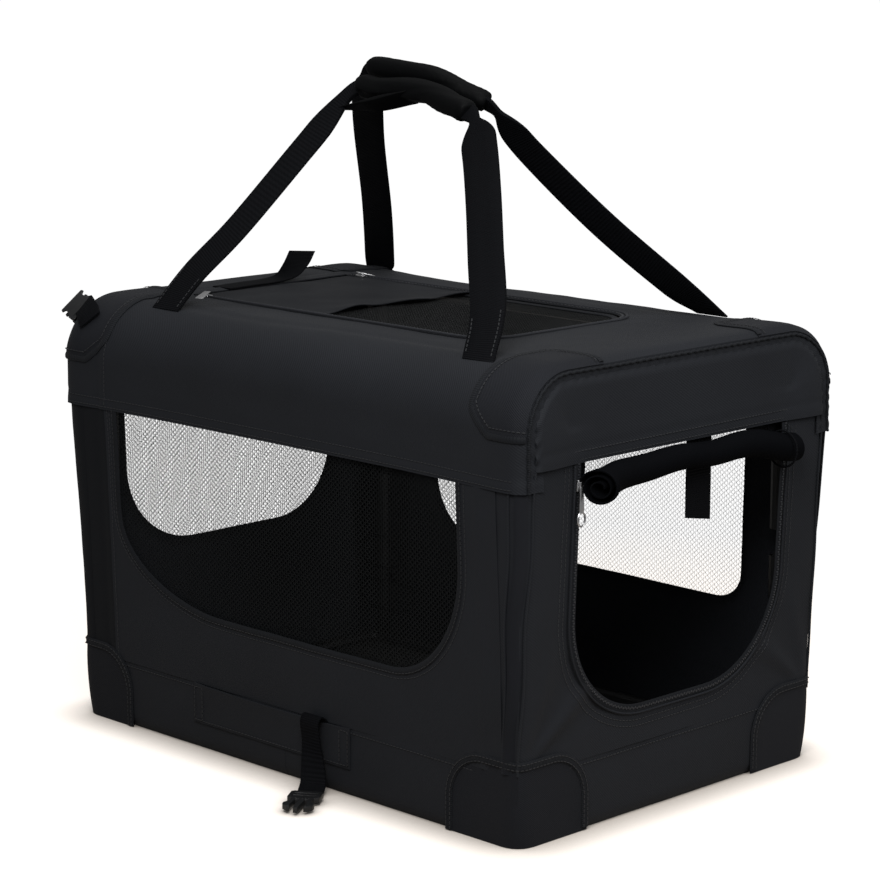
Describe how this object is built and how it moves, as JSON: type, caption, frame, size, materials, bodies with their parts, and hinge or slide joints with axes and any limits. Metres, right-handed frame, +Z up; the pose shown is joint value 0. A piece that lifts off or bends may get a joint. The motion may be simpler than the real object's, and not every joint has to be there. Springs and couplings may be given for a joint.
{
  "type": "folding fabric pet crate",
  "caption": "Soft-sided folding pet crate with a steel tube frame, mesh windows, a rolled-up end door, a zipped roof lid and two carrying loops with padded grips.",
  "frame": {"origin": "middle of the crate's base, on the floor", "axes": "+Z up; +X along the crate's length, out of the open door end; -Y towards the long side with the closing strap"},
  "size_m": [0.6729, 0.4816, 0.6556],
  "materials": {
    "cover_fabric": "coarse dark charcoal polyester weave",
    "net": "fine black mesh",
    "webbing": "ribbed black webbing",
    "padding": "smooth black padded wrap",
    "steel_tube": "dark painted steel tube",
    "board": "fabric-faced stiff base board",
    "buckle": "matt black moulded plastic",
    "slider": "bright plated zip slider"
  },
  "bodies": {
    "base": {"base_tray": "cover_fabric", "floor_board": "board", "base_hoop": "steel_tube", "base_patch_1": "cover_fabric", "base_patch_2": "cover_fabric", "base_patch_3": "cover_fabric", "base_patch_4": "cover_fabric", "strap_sleeve": "cover_fabric", "door_wall": "cover_fabric", "rear_wall": "cover_fabric", "rear_net": "net", "door_zip": "webbing"},
    "near_lower": {"near_wall_lower": "cover_fabric", "near_net_lower": "net", "near_lower_post_door": "steel_tube", "near_lower_post_rear": "steel_tube"},
    "near_upper": {"near_wall_upper": "cover_fabric", "near_net_upper": "net", "near_upper_post_door": "steel_tube", "near_upper_post_rear": "steel_tube"},
    "far_lower": {"far_wall_lower": "cover_fabric", "far_net_lower": "net", "far_lower_post_door": "steel_tube", "far_lower_post_rear": "steel_tube"},
    "far_upper": {"far_wall_upper": "cover_fabric", "far_net_upper": "net", "far_upper_post_door": "steel_tube", "far_upper_post_rear": "steel_tube"},
    "top": {"roof_cover": "cover_fabric", "top_arch_door": "steel_tube", "top_arch_rear": "steel_tube", "top_rail_near": "steel_tube", "top_rail_far": "steel_tube", "top_patch_1": "cover_fabric", "top_patch_2": "cover_fabric", "top_patch_3": "cover_fabric", "top_patch_4": "cover_fabric", "rolled_door": "net", "door_tie_loop": "webbing", "door_tie_strap": "webbing"},
    "lid": {"lid_panel": "cover_fabric", "lid_net": "net"},
    "lid_tie": {"lid_tie_strap": "webbing"},
    "near_handle": {"near_handle_webbing": "webbing", "near_grip_pad": "padding", "grip_flap": "padding"},
    "far_handle": {"far_handle_webbing": "webbing", "far_grip_pad": "padding"},
    "door_slider": {"door_slider": "slider"},
    "door_slider_pull": {"door_slider_pull": "slider"},
    "lid_slider_near": {"lid_slider_near": "slider"},
    "lid_slider_far": {"lid_slider_far": "slider"},
    "closing_strap": {"closing_strap": "webbing"},
    "plug_buckle": {"plug_buckle": "buckle"},
    "socket": {"socket_strap": "webbing", "socket_buckle": "buckle"}
  },
  "joints": [
    {"name": "near_base_fold", "type": "hinge", "parent": "base", "child": "near_lower", "pos_m": [0, -0.185, 0.0245], "axis": [-1, 0, 0], "range_deg": [0, 75], "deforming": ["door_wall", "rear_wall", "rear_net", "door_zip"]},
    {"name": "near_knuckle", "type": "hinge", "parent": "near_lower", "child": "near_upper", "pos_m": [0, -0.198, 0.20725], "axis": [1, 0, 0], "range_deg": [0, 150]},
    {"name": "near_top_fold", "type": "hinge", "parent": "near_upper", "child": "top", "pos_m": [0, -0.185, 0.39], "axis": [-1, 0, 0], "range_deg": [0, 75]},
    {"name": "far_base_fold", "type": "hinge", "parent": "base", "child": "far_lower", "pos_m": [0, 0.185, 0.0245], "axis": [1, 0, 0], "range_deg": [0, 75]},
    {"name": "far_knuckle", "type": "hinge", "parent": "far_lower", "child": "far_upper", "pos_m": [0, 0.198, 0.20725], "axis": [-1, 0, 0], "range_deg": [0, 150]},
    {"name": "lid_open", "type": "hinge", "parent": "top", "child": "lid", "pos_m": [-0.234, 0, 0.419], "axis": [0, -1, 0], "range_deg": [0, 11]},
    {"name": "near_handle_swing", "type": "hinge", "parent": "top", "child": "near_handle", "pos_m": [0, -0.172, 0.4169], "axis": [1, 0, 0], "range_deg": [0, 140]},
    {"name": "far_handle_swing", "type": "hinge", "parent": "top", "child": "far_handle", "pos_m": [0, 0.172, 0.4184], "axis": [-1, 0, 0], "range_deg": [0, 140]},
    {"name": "door_slider_run", "type": "slide", "parent": "top", "child": "door_slider", "axis": [0, 0, 1], "range_m": [-0.12, 0]},
    {"name": "door_pull_swing", "type": "hinge", "parent": "door_slider", "child": "door_slider_pull", "pos_m": [0.3048, -0.1465, 0.3155], "axis": [0, -1, 0], "range_deg": [0, 80]},
    {"name": "lid_slider_near_run", "type": "slide", "parent": "top", "child": "lid_slider_near", "axis": [1, 0, 0], "range_m": [0, 0.3]},
    {"name": "lid_slider_far_run", "type": "slide", "parent": "top", "child": "lid_slider_far", "axis": [1, 0, 0], "range_m": [0, 0.3]},
    {"name": "lid_tie_lift", "type": "hinge", "parent": "top", "child": "lid_tie", "pos_m": [-0.25, -0.058, 0.4203], "axis": [1, 0, 0], "range_deg": [0, 90]},
    {"name": "closing_strap_swing", "type": "hinge", "parent": "base", "child": "closing_strap", "pos_m": [0.046, -0.203, 0.064], "axis": [-1, 0, 0], "range_deg": [0, 95]},
    {"name": "plug_buckle_tilt", "type": "hinge", "parent": "closing_strap", "child": "plug_buckle", "pos_m": [0.06527, -0.23178, 0.0028], "axis": [-0.829, -0.5592, 0], "range_deg": [0, 45]},
    {"name": "socket_swing", "type": "hinge", "parent": "top", "child": "socket", "pos_m": [-0.3013, -0.1848, 0.4012], "axis": [0.2997, 0.6594, 0.6894], "range_deg": [0, 80]}
  ],
  "couplings": [
    {"joint": "near_knuckle", "follows": "near_base_fold", "ratio": 2},
    {"joint": "near_top_fold", "follows": "near_base_fold", "ratio": 1},
    {"joint": "far_base_fold", "follows": "near_base_fold", "ratio": 1},
    {"joint": "far_knuckle", "follows": "near_base_fold", "ratio": 2}
  ]
}
